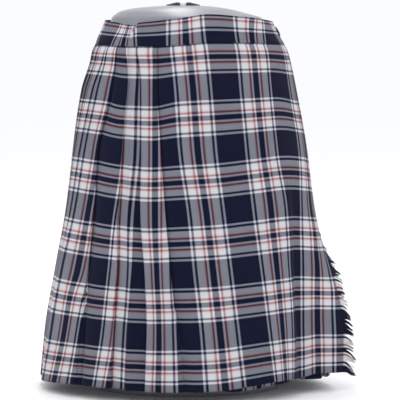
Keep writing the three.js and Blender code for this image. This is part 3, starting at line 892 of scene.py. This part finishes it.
def wool_look(name, woven):
    """Wool-look acrylic yarn: dull and a little hairy, with a soft sheen at the edges. Woven, the
    two sets of yarns cross in a two-over-two twill; loose, only the weft's colours are left."""
    material, tree, shader = new_material(name)
    cloth = add_node(tree, "ShaderNodeUVMap", uv_map="cloth")
    split = add_node(tree, "ShaderNodeSeparateXYZ", {0: cloth.outputs[0]})
    across, up = split.outputs[0], split.outputs[1]
    colour = stripes(tree, up, WEFT_START, WEFT_STRIPES)
    yarns = []
    for place in (across, up):
        count = add_node(
            tree, "ShaderNodeMath", {0: place, 1: 1 / (YARN_MM * MM)}, operation="MULTIPLY"
        )
        yarns.append(count.outputs[0])
    if woven:
        warp = stripes(tree, across, 0, WARP_STRIPES)
        # Crossing yarns shade each other, so a mixed square is darker than an even mix of light:
        # the two colours are mixed as roots and brought back
        root = 1 / DISPLAY_GAMMA
        roots = [
            add_node(tree, "ShaderNodeGamma", {"Color": side, "Gamma": root}).outputs[0]
            for side in (warp, colour)
        ]
        cells = [add_node(tree, "ShaderNodeMath", {0: yarn}, operation="FLOOR") for yarn in yarns]
        both = add_node(
            tree,
            "ShaderNodeMath",
            {0: cells[0].outputs[0], 1: cells[1].outputs[0]},
            operation="ADD",
        )
        turns = add_node(
            tree, "ShaderNodeMath", {0: both.outputs[0], 1: 1 / TWILL_REPEAT}, operation="MULTIPLY"
        )
        slant = add_node(tree, "ShaderNodeMath", {0: turns.outputs[0]}, operation="FRACT")
        over = add_node(
            tree, "ShaderNodeMath", {0: slant.outputs[0], 1: TWILL_SPLIT}, operation="GREATER_THAN"
        )
        share = add_node(
            tree,
            "ShaderNodeMapRange",
            {"Value": over.outputs[0], "To Min": YARN_UNDER, "To Max": YARN_OVER},
        )
        mixed = add_node(
            tree,
            "ShaderNodeMix",
            {"Factor": share.outputs[0], "A": roots[0], "B": roots[1]},
            data_type="RGBA",
        )
        colour = add_node(
            tree, "ShaderNodeGamma", {"Color": mixed.outputs["Result"], "Gamma": DISPLAY_GAMMA}
        ).outputs[0]
    place = add_node(tree, "ShaderNodeTexCoord").outputs["Object"]
    hairs = add_node(
        tree,
        "ShaderNodeTexNoise",
        {"Vector": place, "Scale": HAIRS_PER_METRE, "Detail": 3.0, "Roughness": 0.65},
    )
    cloud = add_node(
        tree, "ShaderNodeTexNoise", {"Vector": place, "Scale": CLOUDS_PER_METRE, "Detail": 2.0}
    )
    marks = add_node(
        tree, "ShaderNodeMath", {0: hairs.outputs[0], 1: cloud.outputs[0]}, operation="ADD"
    )
    shade = add_node(
        tree,
        "ShaderNodeMapRange",
        {
            "Value": marks.outputs[0],
            "From Max": 2.0,
            "To Min": 1 - DYE_SHADE,
            "To Max": 1 + DYE_SHADE,
        },
    )
    dyed = add_node(
        tree,
        "ShaderNodeMix",
        {"Factor": 1.0, "A": colour, "B": shade.outputs[0]},
        data_type="RGBA",
        blend_type="MULTIPLY",
    )
    height = hairs.outputs[0]
    if woven:
        height = add_node(
            tree, "ShaderNodeMath", {0: height, 1: share.outputs[0]}, operation="ADD"
        ).outputs[0]
    bump = add_node(
        tree,
        "ShaderNodeBump",
        {"Height": height, "Strength": 0.35, "Distance": WEAVE_DEPTH_MM * MM},
    )
    tree.links.new(dyed.outputs["Result"], shader.inputs["Base Color"])
    tree.links.new(bump.outputs[0], shader.inputs["Normal"])
    dull_yarn = {
        "Roughness": 0.9,
        "IOR": 1.45,
        "Specular IOR Level": 0.1,
        "Sheen Weight": 0.03,
        "Sheen Roughness": 0.6,
    }
    for socket, value in dull_yarn.items():
        shader.inputs[socket].default_value = value
    return material


tartan = wool_look("wool_look_twill_tartan", woven=True)
pleats = finish_piece(
    "skirt_pleats",
    cloth_mesh(cloth_points(PLEAT_ROWS, pleat_stops, hem_height)),
    tartan,
    "tartan",
    "pleated_panel",
)
thicken(pleats, CLOTH)

# ----------------------------------------------------------
# Over-apron: the flat front panel of the same tartan. It starts under the last pleat and hangs
# plain across the front; its free side swings out at the hem as a loose flap beside a soft valley.

# Lines down the apron from left to right, each at one thread of the cloth: the first stripe group's
# start, the second group's start and end, the valley, the flap's own group, and the free edge
APRON_LINES = ("a", "b", "b_end", "valley", "flap", "flap_mid", "flap_end", "edge")
APRON_CLOTH = (46, 154, 216, 240, 262, 293, 324, 338)
APRON_BEARING = table(
    "z " + " ".join(APRON_LINES),
    (567, 349, 388, 413, 423, 432, 446, 460, 467),
    (494, 352.7, 387.5, 409.5, 418, 427, 441, 455, 461),
    (398, 355.2, 387.8, 408, 417, 426, 439.5, 453, 459),
    (300, 359.5, 389.7, 411, 416.7, 422.4, 434, 445.9, 451.3),
    (250, 360.9, 390.4, 409.6, 414.5, 419.7, 429.9, 440.8, 445.8),
    (204, 362, 391, 408, 412.4, 417.4, 426.7, 436.8, 441.2),
    (150, 363.5, 391.9, 407.4, 411.4, 415.8, 425.1, 432.2, 436.3),
    (105, 364.6, 392.8, 407, 411.3, 415.2, 424.5, 430.6, 433.6),
    (18, 365.9, 395, 405.5, 411, 416, 425, 431.7, 435.1),
)
APRON_OUT = table(
    "z " + " ".join(APRON_LINES),
    (567, 0, 0, 0, 0, 0, 0, 0, 0),
    (398, 0, 0, 0, 0, 0, 0, 0, 0),
    (300, 0, 0, 0, -4, -1.5, 2.1, 1.4, 1),
    (250, 0, 0, 0, -6.7, -5, 6.5, 4.2, 2.6),
    (204, 0, 0, 0, -9.5, -8, 6.3, 12.8, 9.5),
    (150, 0, 0, -0.4, -11, -11, 2.4, 23.2, 25.1),
    (105, 0, 0, -1, -12, -14, -1, 22.5, 31.8),
    (18, 0, 0, -2, -15, -22, -7, 15.5, 23.5),
)
APRON_PARTS = 11
APRON_ROWS = 150
CURVE_TENSION = 0.35
# Width of the edge that lies flat under fold f1, and the share of the rise over which it comes up
TUCKED_EDGE = 1.5
RISEN_SHARE = 0.7


def curve_through(points, parts):
    """Points of a smooth curve through others, each span cut into equal parts."""
    before, after = (
        [2 * a - b for a, b in zip(points[end], points[inner])] for end, inner in ((0, 1), (-1, -2))
    )
    row = [before, *points, after]
    made = [tuple(points[0])]
    for i in range(1, len(row) - 2):
        for n in range(1, parts + 1):
            f = n / parts
            point = []
            for p0, p1, p2, p3 in zip(row[i - 1], row[i], row[i + 1], row[i + 2]):
                m1, m2 = CURVE_TENSION * (p2 - p0), CURVE_TENSION * (p3 - p1)
                bend = (2 * f**3 - 3 * f**2 + 1) * p1 + (3 * f**2 - 2 * f**3) * p2
                point.append(bend + (f**3 - 2 * f**2 + f) * m1 + (f**3 - f**2) * m2)
            made.append(tuple(point))
    return made


def apron_stops(z):
    """One row of the over-apron, from under fold f1 to the free edge."""
    step, rise = step_at(z), rise_at(z)
    fold = tween(FOLD_BEARING, "z", "f1", z)
    fold_cloth = tween(FOLD_CLOTH, "z", "f1_start", z)
    start = -tween(UNDERLAP, "z", "f1", z) + ROLL_SHARE * step + SEAM_END + END_GAP
    under = max(start + TUCKED_EDGE, FOLD_CLEARANCE)
    knots = []
    for shift, layer in (
        (start, UNDER_LAYER),
        (under, UNDER_LAYER),
        (under + rise * RISEN_SHARE, RISEN),
    ):
        knots.append((fold + degrees(shift, fold, z), -layer * step, fold_cloth + shift))
    for name, cloth in zip(APRON_LINES, APRON_CLOTH):
        knots.append((tween(APRON_BEARING, "z", name, z), tween(APRON_OUT, "z", name, z), cloth))
    return [(*point, 1) for point in curve_through(knots, APRON_PARTS)]


apron = finish_piece(
    "front_apron",
    cloth_mesh(cloth_points(APRON_ROWS, apron_stops, hem_height)),
    tartan,
    "tartan",
    "over_apron",
)
thicken(apron, CLOTH)

# ----------------------------------------------------------
# Self fringe: the over-apron's free edge is frayed, so its weft yarns stand out past the last warp
# yarn. They curl down in small clumps, each yarn in its own stripe's colour.

FRINGE_YARNS = 800
FRINGE_CLUMPS = 88
YARN_LENGTH = table("z length", (567, 11), (204, 13), (105, 16), (60, 21), (18, 23))
YARN_RADIUS = 0.8
YARN_TAPER = 0.6
YARN_LEVELS = 6
# A yarn starts this far inside the edge, and is a little taller than it is wide
YARN_ROOT = 1.5
YARN_WIDTH, YARN_HEIGHT = 0.8, 1.15
# How far a clump draws its yarns together, and how far they turn outwards where the flap starts
CLUMP_PULL = 0.4
FLARE, FLARE_Z, FLARE_HEIGHT = 0.9, 200, 38
# How far a yarn droops for its length, and how much more it does at the hem's corner
DROOP = 0.5
CORNER_DROOP, CORNER_HEIGHT = 0.25, 25


def edge_at(share):
    """The free edge at a share of its length: its point, the way the cloth runs on, and v."""
    points = []
    for bearing, out, _ in fill_stops(apron_stops(WAIST_Z + (HEM_Z - WAIST_Z) * share))[-2:]:
        hem = hem_height(bearing)
        z = row_height(share, bearing, hem)
        points.append(Vector((*on_outline(bearing, z, out - CLOTH / 2), z)))
    along = points[1] - points[0]
    along.z = 0
    return points[1], along.normalized(), along_warp(bearing, z, hem)


def wave(n, size, pace, start=0):
    """A swing from yarn to yarn or from clump to clump, so that no two side by side match."""
    return size * math.sin(n * pace + start)


def yarn_template():
    """One straight, tapering yarn, one unit long, cut into levels."""
    bm = bmesh.new()
    bmesh.ops.create_cone(
        bm,
        cap_ends=True,
        segments=4,
        radius1=YARN_RADIUS,
        radius2=YARN_RADIUS * YARN_TAPER,
        depth=1,
    )
    bmesh.ops.subdivide_edges(bm, edges=upright_edges(bm), cuts=YARN_LEVELS - 1)
    mesh = bpy.data.meshes.new("yarn")
    bm.to_mesh(mesh)
    bm.free()
    return mesh


def build_fringe():
    bm = bmesh.new()
    layer = bm.loops.layers.uv.new("cloth")
    template = yarn_template()
    clump_length = 1 / FRINGE_CLUMPS
    for n in range(FRINGE_YARNS):
        share = (n + 0.5) / FRINGE_YARNS
        wander = wave(n, 0.35, 0.11) + wave(n, 0.25, 0.043, start=1)
        middle = (math.floor(share / clump_length + wander) + 0.5 - wander) * clump_length
        clump = round(middle / clump_length)
        point, along, v = edge_at(share)
        gather = (share - middle) * (WAIST_Z - HEM_Z) * CLUMP_PULL
        outward = Vector((along.y, -along.x, 0))
        run = along + outward * FLARE * hump(FLARE_Z, FLARE_HEIGHT, point.z)
        length = tween(YARN_LENGTH, "z", "length", point.z)
        length *= 0.98 + wave(clump, 0.15, 2.4) + wave(n, 0.12, 5.1)
        droop = DROOP + wave(clump, 0.22, 1.7) + wave(n, 0.06, 3.3)
        droop += CORNER_DROOP * hump(HEM_Z, CORNER_HEIGHT, point.z)
        sway = wave(clump, 1.3, 3.1) + wave(n, 0.4, 2.2)
        known = len(bm.verts)
        bm.from_mesh(template)
        bm.verts.ensure_lookup_table()
        yarn = bm.verts[known:]
        for vert in yarn:
            t = vert.co.z + 0.5
            spot = point - along * YARN_ROOT + run * (length + YARN_ROOT) * t
            spot += outward * (vert.co.x * YARN_WIDTH + sway * t * t)
            spot.z += vert.co.y * YARN_HEIGHT + gather * t - droop * length * t * t
            vert.co = spot
        for face in {f for vert in yarn for f in vert.link_faces}:
            for loop in face.loops:
                loop[layer].uv = (APRON_CLOTH[-1] * MM, v * MM)
    return bm


loose_yarn = wool_look("loose_weft_yarn", woven=False)
fringe = finish_piece("apron_fringe_yarns", build_fringe(), loose_yarn, "fringe", "apron_fringe")

# ----------------------------------------------------------
# Under-apron: the plain panel behind the over-apron, cut from the same tartan and joined to the
# pleats at the side. Only its hem shows, a little below the front one.

UNDER_START = -42
UNDER_COLUMNS = 90
UNDER_ROWS = 70
UNDER_CLOTH_START = -8
# Room that it keeps to the pleats in front below the band, and its depth where the band's lap holds
# it flat, which is between these heights and bearings
UNDER_ROOM = 0.8
TUCK_DEPTH = 3
TUCK_LOW, TUCK_HIGH = 541, 560
TUCK_LEFT = (-12, -2)
TUCK_RIGHT = (40, 55)
UNDER_HEM = table(
    "bearing z",
    (UNDER_START, 23),
    (8, 21),
    (18, 16),
    (28, 19),
    (38, 23.5),
    (48, 24.5),
    (SIDE_SEAM, 22),
)
under_hem = lookup(UNDER_HEM, "bearing", "z", UNDER_START, SIDE_SEAM)


def under_stops(z):
    """One row of the under-apron, from its free edge to the side seam."""
    step = step_at(z)
    at_top = smooth(TUCK_LOW, TUCK_HIGH, z)
    stops = []
    for j in range(UNDER_COLUMNS):
        bearing = UNDER_START + (SIDE_SEAM - UNDER_START) * j / (UNDER_COLUMNS - 1)
        place = min(bearing, SIDE_SEAM - degrees(END_GAP, SIDE_SEAM, z))
        lap = lap_at(z) * smooth(TUCK_RIGHT[0], SIDE_SEAM, bearing)
        deep = UNDER_LAYER * step + max(CLOTH + SEAM_GAP + UNDER_ROOM * (1 - at_top), lap)
        tucked = at_top * smooth(*TUCK_LEFT, bearing) * (1 - smooth(*TUCK_RIGHT, bearing))
        depth = deep + (TUCK_DEPTH - deep) * tucked
        cloth = UNDER_CLOTH_START + (bearing - UNDER_START) / degrees(1, 0, z)
        stops.append((place, -depth - valley_depth(bearing, z), cloth, 1))
    return stops


under_apron = finish_piece(
    "inner_apron",
    cloth_mesh(cloth_points(UNDER_ROWS, under_stops, under_hem)),
    tartan,
    "tartan",
    "under_apron",
)
thicken(under_apron, CLOTH)

# ----------------------------------------------------------
# Waistband: one folded strip of the tartan, stiffened, sewn to the skirt's top edge and lapped once
# across the front. At viewer's left it sags where the ends of the pleats pull it in.

BAND_CLOTH = 1.6
BAND_LAP_GAP = 0.4
BAND_START = -40
BAND_END = 467
BAND_COLUMNS = 520
BAND_ROWS = 14
BAND_SEAM_LINE = 92
BAND_HEIGHT = 45
# How far the lap's inner layer lies below the outer one's top, how far the sag pulls the top in,
# with its bearing and width, and how far the folded strip swells in its middle
BAND_LAP_DROP = 4
BAND_PINCH, PINCH_BEARING, PINCH_WIDTH = 5, -40, 5
BAND_SWELL = 0.35

# Place on the cloth along the band, at its upper and lower edge
BAND_WARP = table(
    "cloth top bottom",
    (-470, -180, -180),
    (-108, -77.4, -76),
    (-62, -52, -55.4),
    (0, -37.2, -32),
    (46, -15, -13.4),
    (108, 11, 11),
    (154, 32.2, 29.5),
    (216, 63.7, 54),
    (262, 73, 72),
    (520, 180, 180),
)


def band_points():
    """Every point of the band, row by row from its top: (x, y, z, u, v)."""
    grid = []
    for i in range(BAND_ROWS):
        down = i / (BAND_ROWS - 1)
        line = []
        for j in range(BAND_COLUMNS):
            bearing = BAND_START + (BAND_END - BAND_START) * j / (BAND_COLUMNS - 1)
            t = turn(bearing)
            inner = 1 - smooth(LAP_START, LAP_END, bearing)
            top = band_top(t) - inner * BAND_LAP_DROP
            bottom = band_bottom(t)
            z = top + (bottom - top) * down
            pinch = BAND_PINCH * hump(PINCH_BEARING, PINCH_WIDTH, t) * (1 - down) * (1 - inner)
            swell = BAND_SWELL * math.sin(math.pi * down) ** 0.5
            sunk = (BAND_CLOTH + BAND_LAP_GAP) * inner
            out = -BAND_CLOTH / 2 - sunk - pinch + swell * (1 - inner)
            x, y = on_outline(bearing, z, out)
            upper = tween(BAND_WARP, "top", "cloth", t)
            lower = tween(BAND_WARP, "bottom", "cloth", t)
            across = upper + (lower - upper) * down
            line.append((x, y, z, across, BAND_SEAM_LINE + BAND_HEIGHT * (1 - down)))
        grid.append(line)
    return grid


waistband = finish_piece("band", cloth_mesh(band_points()), tartan, "tartan", "waistband")
thicken(waistband, BAND_CLOTH)

# ----------------------------------------------------------
# Button: a plain flat button, moulded in navy polyester, that closes the band's free end at the
# wearer's left side. The photograph doesn't show it.

BUTTON_BEARING = BAND_END - 10
BUTTON_Z = 588
BUTTON_RADIUS = 9
# It lies this far off the band, along the band's slope between bearings this far to each side
BUTTON_SEAT = 0.6
BUTTON_REACH = 3

# The button's section, from the middle of its back out to the rim and in to its dished face
BUTTON_SECTION = table(
    "radius height", (0, 0), (8.5, 0), (9, 0.5), (9, 1.8), (8.4, 2.4), (7, 2.4), (6, 1.9), (0, 1.9)
)


def band_spot(bearing, z):
    return Vector((*on_outline(bearing, z), z))


def build_button():
    bm = bmesh.new()
    verts = [bm.verts.new((row["radius"], 0, row["height"])) for row in BUTTON_SECTION]
    edges = [bm.edges.new((a, b)) for a, b in zip(verts, verts[1:])]
    bmesh.ops.spin(
        bm,
        geom=verts + edges,
        axis=(0, 0, 1),
        cent=(0, 0, 0),
        angle=math.tau,
        steps=48,
        use_merge=True,
    )
    bmesh.ops.remove_doubles(bm, verts=bm.verts, dist=0.001)
    bmesh.ops.recalc_face_normals(bm, faces=bm.faces)
    around = band_spot(BUTTON_BEARING + BUTTON_REACH, BUTTON_Z)
    around -= band_spot(BUTTON_BEARING - BUTTON_REACH, BUTTON_Z)
    up = band_spot(BUTTON_BEARING, BUTTON_Z + BUTTON_RADIUS)
    up -= band_spot(BUTTON_BEARING, BUTTON_Z - BUTTON_RADIUS)
    facing = around.cross(up).normalized()
    place = band_spot(BUTTON_BEARING, BUTTON_Z) + facing * BUTTON_SEAT
    turned = facing.to_track_quat("Z", "Y").to_matrix()
    bmesh.ops.rotate(bm, cent=(0, 0, 0), matrix=turned, verts=bm.verts)
    bmesh.ops.translate(bm, vec=place, verts=bm.verts)
    return bm


# Moulded polyester, tumbled smooth: a small soft gloss on its rim
button_plastic = moulded_plastic("navy_polyester_button", "#1c2136", 0.3, grain_mm=0.6)
button = finish_piece("band_button", build_button(), button_plastic, "button", "waist_button")

# ----------------------------------------------------------
# Studio: a white floor, an even white surround and three soft lights, one of them a strip overhead
# that gives the form its highlight

FLOOR_REACH = 40  # metres

floor_bm = bmesh.new()
bmesh.ops.create_grid(floor_bm, x_segments=1, y_segments=1, size=FLOOR_REACH)
floor_mesh = bpy.data.meshes.new("floor")
floor_bm.to_mesh(floor_mesh)
floor_bm.free()
floor = bpy.data.objects.new("floor", floor_mesh)
bpy.context.scene.collection.objects.link(floor)
floor_material, _, floor_shader = new_material("matt_white_paper")
floor_shader.inputs["Base Color"].default_value = hex_colour("#ffffff")
floor_shader.inputs["Roughness"].default_value = 0.9
floor_mesh.materials.append(floor_material)

bpy.context.scene.view_settings.view_transform = "Standard"
world = bpy.data.worlds.new("studio")
bpy.context.scene.world = world
world.use_nodes = True
background = world.node_tree.nodes["Background"]
background.inputs["Color"].default_value = hex_colour("#fbfcff")
background.inputs["Strength"].default_value = 1.0

# Places and targets in millimetres, sizes in metres, power in watts
LIGHTS = table(
    "name place target size power",
    ("key_softbox", (-500, -2600, 2300), (0, 0, 300), (1.0, 1.4), 8),
    ("overhead_strip", (-40, 700, 2600), (-40, 550, 600), (0.3, 3.8), 25),
    ("fill_softbox", (2200, -2000, 1300), (0, 0, 300), (1.4, 1.4), 3),
)
for row in LIGHTS:
    light = bpy.data.lights.new(row["name"], "AREA")
    light.shape = "RECTANGLE"
    light.size, light.size_y = row["size"]
    light.energy = row["power"]
    aim(bpy.data.objects.new(row["name"], light), row["place"], row["target"])
